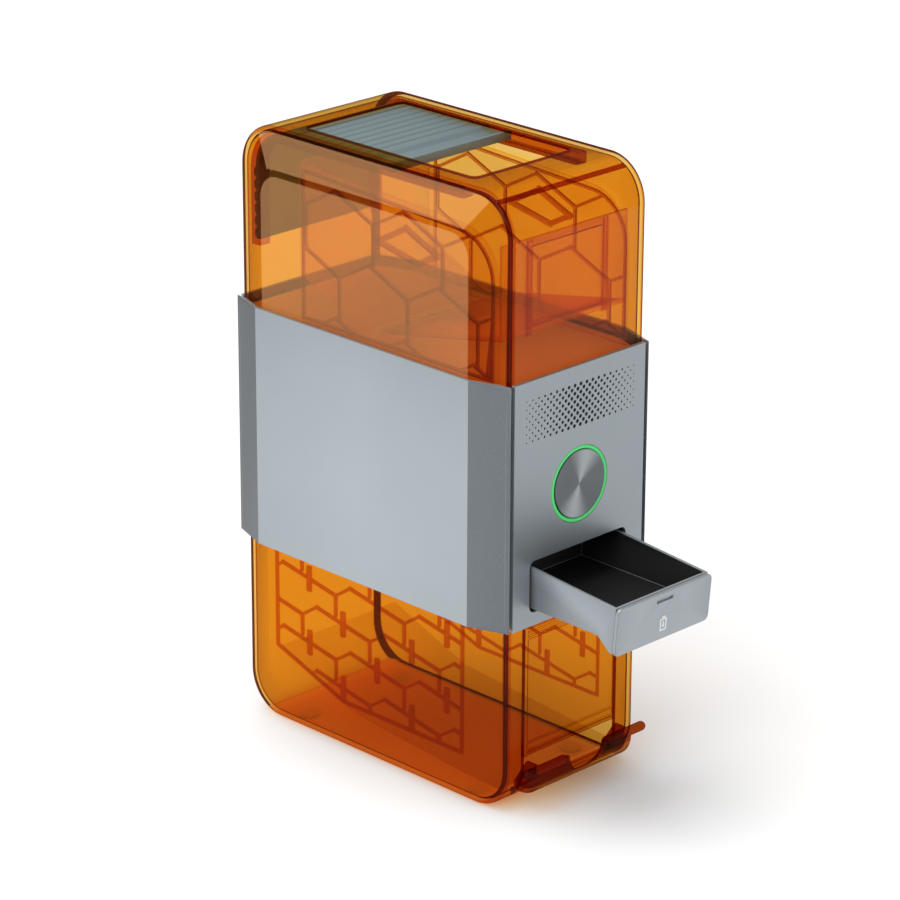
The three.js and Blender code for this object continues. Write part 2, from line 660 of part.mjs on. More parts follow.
function storeRibs() {
  const x1 = HOUSING.halfWidth - LOWER.inset - SHELL_WALL - GAP;
  const x0 = x1 - 1.6;
  const limits = prismX(
    [
      [-75, 29],
      [22, 29],
      [78, 48],
      [78, LOWER.base - 4],
      [-75, LOWER.base - 4],
    ],
    x0,
    x1,
  );
  const inner = prismX(
    [
      [-73.2, 30.8],
      [21.7, 30.8],
      [76.2, 49.3],
      [76.2, LOWER.base - 5.8],
      [-73.2, LOWER.base - 5.8],
    ],
    x0 - 1,
    x1 + 1,
  );
  const comb = { rows: 5, columns: 4, y: 100, z: 122, run: 44, drop: 8, rise: 12, step: 12, crosses: true };
  return join(cut(limits, inner), combPanel(comb, x0, x1).intersect(limits));
}

// A liner seen from the side: up from the deck beside the throat at y0, sloping out to y1 and up again.
function hopperFloor(y0, z0, y1, z1, top) {
  const floor = DECK.upper + DECK.thickness + GAP;
  const out = 1.8 * Math.sign(y1 - y0);
  const outline = [
    [y0, floor],
    [y0, z0],
    [y1, z1],
    [y1, top],
    [y1 + out, top],
    [y1 + out, z1 - 1.4],
    [y0 + out, z0 - 1.4],
    [y0 + out, floor],
  ];
  return prismX(out > 0 ? outline.reverse() : outline, -49, 49);
}

// Two uprights and two ledges on the front of the hopper.
function frontFrame() {
  const [y0, y1] = [-98, -95.8];
  const upright = join(box(27.6, 28.8, y0, y1, 276, 330), box(30.4, 31.6, y0, y1, 276, 330));
  const ledges = [281, 326].map((z) => box(-28.6, 28.6, y0, y1, z, z + 2));
  return [upright, mirrored(upright), ...ledges];
}

function addHopper() {
  piece("upper_shell", "amber", upperShell());
  pair("lid_track", "amber", lidTrack());
  piece("lid_front_slat", "slat", frontSlat());
  piece("lid_curtain", "slat", curtainRun());
  piece("lid_curtain_rear", "slat", curtainRear());
  piece("hopper_floor_rear", "amber", hopperFloor(THROAT.rear + 2, 264, 58, 278, 345));
  const front = hopperFloor(THROAT.front - 2, 260, -94.2, 278, 330);
  piece("hopper_floor_front", "amber", join(front, ...frontFrame()));
  pair("hopper_wall", "amber", hopperWall());
}

// ---- store: amber shell, ramp, window and outlet scoop -------------------------------------------
const footPlaces = () => [-1, 1].flatMap((i) => [-1, 1].map((j) => [i * FOOT.x, j * FOOT.y]));

function lowerShell() {
  const front = -HOUSING.halfDepth;
  const opening = WINDOW.halfWidth + GAP;
  const pinEnd = SCOOP_PIN.reach + 1;
  return cut(
    shellForm(LOWER.inset, LOWER.base, 0, -1),
    shellForm(LOWER.inset + SHELL_WALL, LOWER.base + 1, SHELL_WALL, -1),
    ...footPlaces().map((at) => rod("z", FOOT.radius + GAP, -1, FOOT.height + GAP, at, 20)),
    box(-opening, opening, front, SCOOP_PIN.y + 3.2, 0, WINDOW.top + GAP),
    rod("x", SCOOP_PIN.radius + GAP, -pinEnd, pinEnd, [SCOOP_PIN.y, SCOOP_PIN.z], 12),
  );
}

function frontWindow() {
  const y = -HOUSING.halfDepth + LOWER.inset + 0.9;
  const { bottom, top, halfWidth } = WINDOW;
  const levels = [top - 1.2, top - 3.6, top - 6, bottom + 1.2, bottom + 3.4, bottom + 8.2];
  const ribs = levels.map((z) => box(-halfWidth, halfWidth, y - 0.9, y + 0.5, z - 0.6, z + 0.6));
  const plate = box(-halfWidth, halfWidth, y, y + 1.8, bottom, top);
  const frame = box(halfWidth - 2.4, halfWidth, y - 0.9, y + 0.5, bottom, top);
  return join(plate, frame, mirrored(frame), ...ribs);
}

// A quarter-round trough with a finger notch in its lip, turning on two pins at its inner edge.
function outletScoop() {
  const { halfWidth, lipHalfWidth, y, z, radius, wall, top } = SCOOP;
  const inner = SCOOP_PIN.y + 1.4;
  const lipY = y - radius;
  const floorZ = z - radius;
  const outside = [[inner, floorZ], ...arcPoints(y, z, radius, 270, 180, 8), [lipY, top]];
  const bore = arcPoints(y, z, radius - wall, 180, 270, 8);
  const inside = [[lipY + wall, top], ...bore, [inner, floorZ + wall]];
  const cheek = [...outside, [y - 4, top], [inner, floorZ + 5]];
  const cheekX = [halfWidth - 1.8, halfWidth];
  const lip = join(
    rod("x", 2.8, halfWidth - 20, lipHalfWidth - 2.8, [lipY + 1.4, top - 1.6], 12),
    solid(new THREE.SphereGeometry(2.8, 12, 8).translate(lipHalfWidth - 2.8, lipY + 1.4, top - 1.6)),
  );
  const side = join(
    prismX(cheek, ...cheekX),
    lip,
    rod("x", SCOOP_PIN.radius, halfWidth - 1, SCOOP_PIN.reach, [SCOOP_PIN.y, SCOOP_PIN.z], 12),
  );
  const trough = prismX([...outside, ...inside], -halfWidth, halfWidth);
  const notch = rod("y", 14, lipY - 5, y - 6, [0, top + 1], 28);
  return join(cut(trough, notch), side, mirrored(side));
}

function addStore() {
  piece("lower_shell", "amber", lowerShell());
  piece("front_window", "amber", frontWindow());
  piece("outlet_scoop", "amber", outletScoop());
  const slope = [
    [-94, 12.4],
    [-60, 14],
    [24, 21],
    [84, 43],
  ];
  piece("store_ramp", "amber", bentPlate(slope, 2, 46));
  pair("store_ribs", "amber", storeRibs());
  for (const [i, at] of footPlaces().entries()) {
    piece(`foot_${i + 1}`, "foot", rod("z", FOOT.radius, 0, FOOT.height, at, 20));
  }
}

addHousing();
addButton();
addDrawer();
addFan();
addFeed();
addCharger();
addSorter();
addElectronics();
addHopper();
addStore();

export default station;
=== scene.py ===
"""Looks for the battery handling station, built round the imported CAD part. Metres, same frame as the CAD.

An amber hopper with a roller-shutter lid stands on a satin grey housing, which stands on an amber store.
Sizes are written in millimetres and turned into metres by mm().
"""

import json
import math

import bmesh
import bpy
from mathutils import Matrix, Vector


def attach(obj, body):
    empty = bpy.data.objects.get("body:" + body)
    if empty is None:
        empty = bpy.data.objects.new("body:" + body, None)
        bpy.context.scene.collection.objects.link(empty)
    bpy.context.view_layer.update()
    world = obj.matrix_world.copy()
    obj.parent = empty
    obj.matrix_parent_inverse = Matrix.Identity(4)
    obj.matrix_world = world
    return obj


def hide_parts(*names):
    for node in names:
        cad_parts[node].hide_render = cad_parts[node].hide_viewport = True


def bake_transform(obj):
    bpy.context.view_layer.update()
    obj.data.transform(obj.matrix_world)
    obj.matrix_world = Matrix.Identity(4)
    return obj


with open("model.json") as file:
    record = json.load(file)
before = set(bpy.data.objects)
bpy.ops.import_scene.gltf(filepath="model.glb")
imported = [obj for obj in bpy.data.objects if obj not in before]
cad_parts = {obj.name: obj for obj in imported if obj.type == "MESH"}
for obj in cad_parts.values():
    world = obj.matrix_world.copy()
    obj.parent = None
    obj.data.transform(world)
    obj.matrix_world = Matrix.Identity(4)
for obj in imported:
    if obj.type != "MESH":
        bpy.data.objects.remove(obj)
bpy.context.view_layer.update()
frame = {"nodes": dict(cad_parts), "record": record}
NODES = frame["nodes"]

# ---- sizes, in millimetres ----------------------------------------------------------------------
HEIGHT = 360
HOUSING = {"x": 62.8, "y": 108.9, "bottom": 112, "top": 255.4}
CHAMFER = {"x": 8.5, "y": 24.2}
SHELL_WALL = 2.5
CROWN = {"arc": 28, "inner_arc": 16, "bevel": 22.5}
UPPER = {"inset": 2.65, "base": 251, "crown": HEIGHT, "sign": 1}
LOWER = {"inset": 3.9, "base": 117, "crown": 0, "sign": -1}
HATCH = {"half_width": 38.5, "front": -64.5, "rear": 69.3, "corner": 4}
PANEL = {"half_width": 51.6, "front": -108.9, "thickness": 2.4}
BAY = {"half_width": 38.6, "bottom": 119.7, "top": 150.3, "corner": 4}
BUTTON = {"z": 186, "radius": 19.8, "ring": 22.3, "face": -109.3}
GRILLE = {"z": 232.6, "columns": 37, "pitch": 2.35, "row_pitch": 4.7, "largest": 1.2, "smallest": 0.42}
WINDOW = {"half_width": 37.3, "top": 108.7, "depth": -95}
FEET = [(x, y) for x in (-38, 38) for y in (-70, 70)]
FOOT_HOLE = 6.3
SCOOP_PIN = {"y": -98.2, "z": 10.7, "radius": 1.2, "reach": 41}
DRAWER_TILT = math.radians(4.9)
DRAWER_PIVOT = Vector((0, -81.5, 145))
DRAWER_PIVOT_SHUT = Vector((0, -16, 145))


def mm(*values):
    """Millimetres to metres: one number, or a vector from three."""
    if len(values) == 1:
        return values[0] / 1000
    return Vector(values) / 1000


# ---- camera -------------------------------------------------------------------------------------
CAMERA = {"azimuth": -45.0135, "elevation": 20.9328, "roll": 0.2349, "distance": 2229.2, "lens": 157.21}
CAMERA_AIM = (3.27, -5.2, 176.44)


def add_camera():
    azimuth, elevation, roll = (math.radians(CAMERA[k]) for k in ("azimuth", "elevation", "roll"))
    back = Vector(
        (
            math.sin(azimuth) * math.cos(elevation),
            -math.cos(azimuth) * math.cos(elevation),
            math.sin(elevation),
        )
    )
    level = Vector((math.cos(azimuth), math.sin(azimuth), 0))
    upward = back.cross(level)
    right = level * math.cos(roll) + upward * math.sin(roll)
    up = back.cross(right)
    data = bpy.data.cameras.new("camera")
    data.lens = CAMERA["lens"]
    data.sensor_width = 36
    data.clip_start = 0.05
    data.clip_end = 50
    camera = bpy.data.objects.new("camera", data)
    bpy.context.scene.collection.objects.link(camera)
    turn = Matrix((right, up, back)).transposed().to_4x4()
    camera.matrix_world = Matrix.Translation(mm(*CAMERA_AIM) + back * mm(CAMERA["distance"])) @ turn
    bpy.context.scene.camera = camera


add_camera()


# ---- materials ----------------------------------------------------------------------------------
class Graph:
    """A material being built from nodes."""

    def __init__(self, name):
        self.material = bpy.data.materials.new(name)
        self.material.use_nodes = True
        self.tree = self.material.node_tree
        self.tree.nodes.clear()

    def node(self, kind, settings=(), **inputs):
        """Adds a node. An input is a value or another node's output; _ in its name stands for a space."""
        made = self.tree.nodes.new(kind)
        for key, value in dict(settings).items():
            setattr(made, key, value)
        for key, value in inputs.items():
            name = key.replace("_", " ")
            socket = made.inputs[int(key[1:])] if key[0] == "i" and key[1:].isdigit() else made.inputs[name]
            if isinstance(value, bpy.types.NodeSocket):
                self.tree.links.new(value, socket)
            else:
                socket.default_value = value
        return made

    def maths(self, operation, a, b=0.0, clamp=False):
        node = self.node("ShaderNodeMath", {"operation": operation, "use_clamp": clamp}, i0=a, i1=b)
        return node.outputs[0]

    def blend(self, factor, a, b):
        node = self.node("ShaderNodeMix", {"data_type": "RGBA"})
        for socket, value in ((node.inputs[0], factor), (node.inputs[6], a), (node.inputs[7], b)):
            if isinstance(value, bpy.types.NodeSocket):
                self.tree.links.new(value, socket)
            else:
                socket.default_value = value
        return node.outputs[2]

    def place(self):
        return self.node("ShaderNodeTexCoord").outputs["Object"]

    def noise(self, scale, detail=2.0, roughness=0.5):
        place = self.place()
        made = self.node("ShaderNodeTexNoise", Vector=place, Scale=scale, Detail=detail, Roughness=roughness)
        return made.outputs["Fac"]

    def spread(self, value, low, high):
        """Stretches a 0..1 value to low..high."""
        made = self.node("ShaderNodeMapRange", Value=value, To_Min=low, To_Max=high)
        return made.outputs[0]

    def bump(self, height, strength, distance):
        return self.node("ShaderNodeBump", Strength=strength, Distance=distance, Height=height).outputs[0]

    def finish(self, shader):
        self.node("ShaderNodeOutputMaterial", Surface=shader)
        return self.material


def tone(r, g, b):
    """A colour from its 0..255 screen values."""

    def linear(value):
        value /= 255
        return value / 12.92 if value <= 0.04045 else ((value + 0.055) / 1.055) ** 2.4

    return (linear(r), linear(g), linear(b), 1.0)


# The darkest painted shade: the base colour of faces that turn towards the rear.
REAR_SHADE = tone(40, 44, 48)


def metal_material(name, light, shade, roughness, metallic=0.75):
    """Satin metallic finish with fine grain.

    Faces that turn between the sides and the front or rear have a darker base colour, the rear ones most:
    painted shade, set by their normal.
    """
    g = Graph(name)
    grain = g.noise(2600, 2, 0.7)
    cloud = g.noise(16, 2)
    normal = g.node("ShaderNodeNewGeometry").outputs["Normal"]
    axes = g.node("ShaderNodeSeparateXYZ", Vector=normal).outputs
    across = g.maths("ABSOLUTE", axes[0])
    along = g.maths("ABSOLUTE", axes[1])
    # Painted shade: faces turned between the sides and the front or rear take the shade tone, and rear-facing
    # ones take the rear shade.
    turned = g.maths("MULTIPLY", g.maths("MULTIPLY", across, along), 3.4, clamp=True)
    rearward_shade = g.maths("MULTIPLY", g.maths("MULTIPLY", turned, axes[1]), 1.3, clamp=True)
    base = g.blend(rearward_shade, g.blend(turned, light, shade), REAR_SHADE)
    lifted = g.blend(g.spread(grain, -0.3, 1.1), base, tone(255, 255, 255))
    speckled = g.blend(0.14, base, lifted)
    dark = g.blend(g.spread(cloud, 0.0, 0.12), speckled, shade)
    rough = g.spread(grain, roughness - 0.07, roughness + 0.09)
    surface = g.node(
        "ShaderNodeBsdfPrincipled",
        Base_Color=dark,
        Metallic=metallic,
        Roughness=rough,
        Normal=g.bump(grain, 0.10, 0.0002),
    )
    return g.finish(surface.outputs[0])


def plastic_material(name, colour, roughness, grain=0.06, coat=0.0):
    """Moulded plastic with a fine spark-eroded texture."""
    g = Graph(name)
    fine = g.noise(1800, 3, 0.6)
    cloud = g.noise(30, 2)
    darker = tuple(c * 0.72 for c in colour[:3]) + (1.0,)
    base = g.blend(g.spread(cloud, 0.0, 0.35), colour, darker)
    surface = g.node(
        "ShaderNodeBsdfPrincipled",
        Base_Color=base,
        Roughness=g.spread(fine, roughness - 0.06, roughness + 0.08),
        Coat_Weight=coat,
        Normal=g.bump(fine, grain, 0.0002),
    )
    return g.finish(surface.outputs[0])


AMBER_OUTER = tone(246, 217, 146)
AMBER_INNER = tone(253, 246, 224)
AMBER_DEEP = tone(74, 20, 2)
AMBER_SHADOW = tone(255, 240, 214)


def amber_material(name, clear, deep=AMBER_DEEP, veil=0.0, veil_colour=None, leaving=None, glow=0.0):
    """Clear amber plastic. Light passes straight through and is tinted, most where the wall is seen edge-on.

    A veil is the share of light that the plastic scatters, as a slightly cloudy moulding does. The light
    that falls through the plastic is tinted less, in place of the light that real walls bend and spread.
    Where light leaves the plastic it is tinted by the leaving colour, if there is one. A glow is painted
    light: the plastic gives off a little light of its own, standing for light that has spread inside a thick
    base.
    """
    g = Graph(name)
    facing = g.node("ShaderNodeLayerWeight", Blend=0.5).outputs["Facing"]
    slant = g.maths("POWER", facing, 5.0)
    if leaving:
        clear = g.blend(g.node("ShaderNodeNewGeometry").outputs["Backfacing"], clear, leaving)
    tinted = g.blend(g.spread(g.noise(22, 2), 0.0, 0.02), clear, deep)
    seen = g.blend(slant, tinted, deep)
    shadow = g.node("ShaderNodeLightPath").outputs["Is Shadow Ray"]
    colour = g.blend(shadow, seen, AMBER_SHADOW)
    through = g.node("ShaderNodeBsdfTransparent", Color=colour).outputs[0]
    if veil:
        haze = g.node(
            "ShaderNodeBsdfPrincipled",
            Base_Color=veil_colour,
            Roughness=0.8,
            Emission_Color=veil_colour,
            Emission_Strength=glow,
        ).outputs[0]
        through = g.node("ShaderNodeMixShader", Fac=veil, i1=through, i2=haze).outputs[0]
    ripple = g.bump(g.noise(60, 1), 0.05, 0.0006)
    shine = g.node("ShaderNodeBsdfGlossy", Color=tone(255, 214, 160), Roughness=0.05, Normal=ripple)
    mirror = g.maths("ADD", g.maths("MULTIPLY", g.maths("POWER", facing, 5.0), 0.12), 0.010)
    both = g.node("ShaderNodeMixShader", Fac=mirror, i1=through, i2=shine.outputs[0])
    return g.finish(both.outputs[0])


def spun_material(name):
    """Metal turned on a lathe: fine rings about the button's axis, and two paler fans across it, a painted
    highlight set by bearing round the axis.
    """
    g = Graph(name)
    axes = g.node("ShaderNodeSeparateXYZ", Vector=g.place()).outputs
    height = g.maths("SUBTRACT", axes[2], mm(BUTTON["z"]))
    squares = g.maths("ADD", g.maths("MULTIPLY", axes[0], axes[0]), g.maths("MULTIPLY", height, height))
    radius = g.maths("SQRT", squares)
    turning = g.node("ShaderNodeTexNoise", {"noise_dimensions": "1D"}, W=radius, Scale=4200, Detail=3)
    rings = turning.outputs[0]
    # The two paler fans are a painted highlight: a paler base colour set by bearing round the axis.
    bearing = g.maths("ARCTAN2", height, axes[0])
    fans = g.maths("COSINE", g.maths("MULTIPLY", g.maths("ADD", bearing, -1.25), 2.0))
    painted_sheen = g.maths("POWER", g.spread(fans, 0.5, 1.0), 3.0)
    surface = g.node(
        "ShaderNodeBsdfPrincipled",
        Base_Color=g.blend(painted_sheen, g.blend(rings, tone(62, 66, 69), tone(104, 108, 112)), tone(150, 155, 158)),
        Metallic=1.0,
        Roughness=g.spread(rings, 0.24, 0.36),
        Anisotropic=0.8,
        Tangent=g.node("ShaderNodeTangent", {"direction_type": "RADIAL", "axis": "Y"}).outputs[0],
        Normal=g.bump(rings, 0.25, 0.0002),
    )
    return g.finish(surface.outputs[0])


def light_material(name, colour, strength):
    g = Graph(name)
    surface = g.node(
        "ShaderNodeBsdfPrincipled",
        Base_Color=colour,
        Roughness=0.3,
        Emission_Color=colour,
        Emission_Strength=strength,
    )
    return g.finish(surface.outputs[0])


# One material for each slot of the record.
MATERIALS = {
    "amber_plastic": amber_material("amber_plastic", AMBER_INNER),
    "housing_metal": metal_material("housing_metal", tone(168, 177, 183), tone(88, 96, 101), 0.42),
    "drawer_paint": metal_material("drawer_paint", tone(156, 164, 170), tone(128, 134, 140), 0.46),
    "slat_plastic": plastic_material("slat_plastic", tone(108, 124, 127), 0.48),
    "black_plastic": plastic_material("black_plastic", tone(20, 20, 21), 0.55),
    "spun_metal": spun_material("spun_metal"),
    "light_ring": light_material("light_ring", tone(58, 178, 92), 0.5),
    "steel": metal_material("steel", tone(178, 180, 182), tone(150, 152, 154), 0.32, 1.0),
    "circuit_board": plastic_material("circuit_board", tone(34, 86, 56), 0.35, coat=0.4),
    "gear_plastic": plastic_material("gear_plastic", tone(226, 222, 210), 0.45),
    "brass": metal_material("brass", tone(198, 162, 84), tone(170, 136, 66), 0.3, 1.0),
    "orange_plastic": plastic_material("orange_plastic", tone(196, 138, 92), 0.5),
    "foot_rubber": plastic_material("foot_rubber", tone(128, 76, 40), 0.8, 0.15),
}
# The front panel's metal: a darker copy of the housing metal, painted shade for the front, which takes less
# light than the sides.
PANEL_SHADED_METAL = metal_material("panel_shaded_metal", tone(142, 150, 156), tone(90, 98, 103), 0.42)
ICON_INK = plastic_material("icon_ink", tone(238, 240, 240), 0.6, 0.02)

# The shells' plastic, from its clear walls to its cloudy sides and base, which has a painted glow.
AMBER_SHELL = amber_material("amber_shell", AMBER_OUTER)
AMBER_SIDE = amber_material("amber_side", tone(254, 242, 196), veil=0.20, veil_colour=tone(255, 192, 128))
AMBER_FRONT = amber_material("amber_front", AMBER_OUTER, veil=0.03, veil_colour=tone(255, 222, 200))
# The base gives off a little light of its own: a painted glow.
AMBER_BASE = amber_material("amber_base", AMBER_OUTER, veil=0.45, veil_colour=tone(236, 150, 84), glow=0.2)

# The pieces inside the shells, and the darker lines that ribs, rims and edges draw.
AMBER_WALL = amber_material("amber_wall", AMBER_INNER, veil=0.05, veil_colour=tone(250, 150, 60))
AMBER_FLOOR = amber_material("amber_floor", AMBER_INNER, tone(220, 132, 64), 0.14, tone(250, 156, 72))
AMBER_RIB = amber_material("amber_rib", tone(240, 196, 144), tone(120, 44, 8))
AMBER_LINE = amber_material("amber_line", tone(206, 132, 78), tone(84, 24, 3))
AMBER_EDGE = amber_material("amber_edge", tone(176, 70, 20), tone(60, 14, 2))
AMBER_RIM = amber_material("amber_rim", tone(228, 158, 88), tone(60, 14, 2), leaving=tone(110, 44, 12))
AMBER_TRACK = amber_material("amber_track", tone(232, 176, 116), tone(84, 24, 3))


# ---- meshes -------------------------------------------------------------------------------------
def new_object(name, mesh, materials):
    made = bpy.data.objects.new(name, mesh)
    bpy.context.scene.collection.objects.link(made)
    for material in materials:
        mesh.materials.append(material)
    return made


def mesh_from(bm, name):
    mesh = bpy.data.meshes.new(name)
    bm.to_mesh(mesh)
    bm.free()
    return mesh


def crisp(bm, angle=35):
    """Smooth shading with a hard edge wherever two faces meet at more than the angle."""
    for face in bm.faces:
        face.smooth = True
    for edge in bm.edges:
        edge.smooth = len(edge.link_faces) == 2 and edge.calc_face_angle(0) < math.radians(angle)


def bevel_edges(bm, width, segments, angle=35):
    edges = [e for e in bm.edges if len(e.link_faces) == 2 and e.calc_face_angle(0) > math.radians(angle)]
    bmesh.ops.bevel(
        bm,
        geom=edges,
        offset=mm(width),
        segments=segments,
        profile=0.5,
        affect="EDGES",
        clamp_overlap=True,
    )


def cad_copy(node):
    """The CAD node's mesh with its split corners joined and its flat faces whole again."""
    bm = bmesh.new()
    bm.from_mesh(NODES[node].data)
    bmesh.ops.remove_doubles(bm, verts=bm.verts, dist=mm(0.002))
    bmesh.ops.dissolve_limit(bm, angle_limit=math.radians(0.6), verts=bm.verts, edges=bm.edges)
    bm.normal_update()
    return bm


def node_facts(node):
    """The body that a node rides on, and its material slot."""
    body = next(b for b, members in frame["record"]["behaviour"]["bodies"].items() if node in members)
    slot = next(s["material_slot"] for s in frame["record"]["subparts"] if s["node"] == node)
    return body, slot


def stand_for(node, bm, materials=None, shading=35):
    """Shows the mesh in place of the CAD node."""
    body, slot = node_facts(node)
    crisp(bm, shading)
    made = new_object(node + ".fine", mesh_from(bm, node + ".fine"), materials or [MATERIALS[slot]])
    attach(made, body)
    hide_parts(node)
    return made


def refine(node, width, segments=2, materials=None, pick=None, angle=35, shading=35):
    """Replaces a CAD node by a copy with rounded edges. pick(face) gives a face's material number."""
    bm = cad_copy(node)
    if pick:
        for face in bm.faces:
            face.material_index = pick(face)
    bevel_edges(bm, width, segments, angle)
    return stand_for(node, bm, materials, shading)


def outline_points(half_u, half_v, radius, u=0.0, v=0.0, steps=6):
    """A rectangle with round corners, anticlockwise."""
    points = []
    corners = ((1, 1, 0), (-1, 1, 90), (-1, -1, 180), (1, -1, 270))
    for side_u, side_v, start in corners:
        for i in range(steps + 1):
            angle = math.radians(start + 90 * i / steps)
            points.append(
                (
                    u + side_u * (half_u - radius) + radius * math.cos(angle),
                    v + side_v * (half_v - radius) + radius * math.sin(angle),
                )
            )
    return points


def circle_points(radius, u, v, sides):
    turns = [2 * math.pi * i / sides for i in range(sides)]
    return [(u + radius * math.cos(a), v + radius * math.sin(a)) for a in turns]


def prism(outlines, place, start, end):
    """A solid from a closed outline and its holes. place(u, v, w) gives a point, with w from start to end."""
    bm = bmesh.new()
    edges = []
    for outline in outlines:
        ring = [bm.verts.new(mm(*place(u, v, start))) for u, v in outline]
        edges += [bm.edges.new((a, b)) for a, b in zip(ring, ring[1:] + ring[:1])]
    filled = bmesh.ops.triangle_fill(bm, use_beauty=True, use_dissolve=False, edges=edges)
    faces = [g for g in filled["geom"] if isinstance(g, bmesh.types.BMFace)]
    grown = bmesh.ops.extrude_face_region(bm, geom=faces, use_keep_orig=True)
    shift = mm(*place(0, 0, end)) - mm(*place(0, 0, start))
    moved = [g for g in grown["geom"] if isinstance(g, bmesh.types.BMVert)]
    bmesh.ops.translate(bm, verts=moved, vec=shift)
    bmesh.ops.recalc_face_normals(bm, faces=bm.faces)
    bmesh.ops.dissolve_limit(bm, angle_limit=math.radians(0.3), verts=bm.verts, edges=bm.edges)
    return bm


def on_x(u, v, w):
    return (w, u, v)


def on_y(u, v, w):
    return (u, w, v)


def on_z(u, v, w):
    return (u, v, w)


def subtract(bm, cutters):
    """Cuts the cutters, each a bmesh, out of bm with Blender's exact boolean."""
    body = new_object("cut_body", mesh_from(bm, "cut_body"), [])
    for cutter in cutters:
        tool = new_object("cut_tool", mesh_from(cutter, "cut_tool"), [])
        modifier = body.modifiers.new("cut", "BOOLEAN")
        modifier.operation = "DIFFERENCE"
        modifier.solver = "EXACT"
        modifier.object = tool
        bpy.context.view_layer.update()
        evaluated = body.evaluated_get(bpy.context.evaluated_depsgraph_get())
        result = bpy.data.meshes.new_from_object(evaluated)
        body.modifiers.clear()
        body.data = result
        bpy.data.objects.remove(tool)
    bm = bmesh.new()
    bm.from_mesh(body.data)
    bpy.data.objects.remove(body)
    return bm


# ---- amber shells -------------------------------------------------------------------------------
ARC_STEPS = 20
FILLET_STEPS = 5
CROWN_BAND = (13, 14)  # the steps of the front arc where its inner skin reads as a dark band
OUTER_FILLETS = {"wide": 3.0, "slim": 2.5}
INNER_FILLETS = {"wide": 1.8, "slim": 1.5}
SHELL_MATERIALS = [AMBER_SHELL, AMBER_EDGE, AMBER_SIDE, AMBER_RIM, AMBER_FRONT, AMBER_BASE]
PLAIN, EDGE, SIDE, RIM, FRONT, BASE = range(len(SHELL_MATERIALS))
BROAD_FACE = 30  # a flat wall's face is larger than a square of this side


def contour(half_depth, end, radius, base, sign):
    """The side view of a shell from its front base over the crown to its rear base: (y, z, outward)."""
    points = [(-half_depth, base, (-1, 0))]
    for turn in (1, -1):
        arc = []
        for i in range(ARC_STEPS + 1):
            angle = math.radians(90 * i / ARC_STEPS)
            y = half_depth - radius + radius * math.cos(angle)
            z = end - sign * (radius - radius * math.sin(angle))
            arc.append((-turn * y, z, (-turn * math.cos(angle), sign * math.sin(angle))))
        points += arc if turn == 1 else arc[::-1]
    points.append((half_depth, base, (1, 0)))
    return points


def corner_curve(start, corner, end):
    """A soft turn from start to end, pulled towards the corner."""
    curve = []
    for i in range(FILLET_STEPS + 1):
        t = i / FILLET_STEPS
        curve.append(start * (1 - t) ** 2 + corner * (2 * t * (1 - t)) + end * t**2)
    return curve


def shell_skin(bm, form, inset, base, crown, wide, slim):
    """One skin of a shell as a grid of vertices: chamfered across, round over the crown.

    wide is the fillet between the chamfer and the front, top or rear, and slim the one beside the flat side.
    """
    sign = form["sign"]
    x = HOUSING["x"] - inset
    y = HOUSING["y"] - inset
    cut_x = CHAMFER["x"] - 0.29 * inset
    cut_y = CHAMFER["y"] - 0.83 * inset
    ridge = contour(y, crown, CROWN["arc"] - inset, base, sign)
    cheek = contour(y - cut_y, crown - sign * CROWN["bevel"], CROWN["inner_arc"], base, sign)
    rows = []
    for (ay, az, _), (by, bz, out) in zip(ridge, cheek):
        top = Vector((x - cut_x, ay, az))
        side = Vector((x, by, bz))
        slope = (top - side).normalized()
        inward = Vector((0, -out[0], -out[1]))
        half = corner_curve(side + inward * slim, side, side + slope * slim)
        half += corner_curve(top - slope * wide, top, top - Vector((wide, 0, 0)))
        left = [Vector((-p.x, p.y, p.z)) for p in half]
        rows.append([bm.verts.new(p / 1000) for p in left + half[::-1]])
    return rows


def shell_mesh(form):
    """A closed shell of even wall, open at its base."""
    bm = bmesh.new()
    sign = form["sign"]
    inner_inset = form["inset"] + SHELL_WALL
    inner_crown = form["crown"] - sign * SHELL_WALL
    outer = shell_skin(bm, form, form["inset"], form["base"], form["crown"], **OUTER_FILLETS)
    inner = shell_skin(bm, form, inner_inset, form["base"], inner_crown, **INNER_FILLETS)
    ridge = range(FILLET_STEPS + 1, 2 * FILLET_STEPS + 1)
    for skin in (outer, inner):
        for number, (row, following) in enumerate(zip(skin, skin[1:])):
            last = len(row) - 2
            for i in range(last + 1):
                face = bm.faces.new((row[i], row[i + 1], following[i + 1], following[i]))
                if i in ridge or last - i in ridge:
                    face.material_index = EDGE if skin is inner and i % FILLET_STEPS == 3 else RIM
                elif skin is inner and number in CROWN_BAND and i == last // 2:
                    face.material_index = EDGE
        bm.faces.new([row[0] for row in skin])
        bm.faces.new([row[-1] for row in skin])
    for end in (0, -1):
        for i in range(len(outer[end]) - 1):
            bm.faces.new((outer[end][i], outer[end][i + 1], inner[end][i + 1], inner[end][i]))
    for side in (0, -1):
        bm.faces.new((outer[0][side], outer[-1][side], inner[-1][side], inner[0][side]))
    bmesh.ops.recalc_face_normals(bm, faces=bm.faces)
    return bm


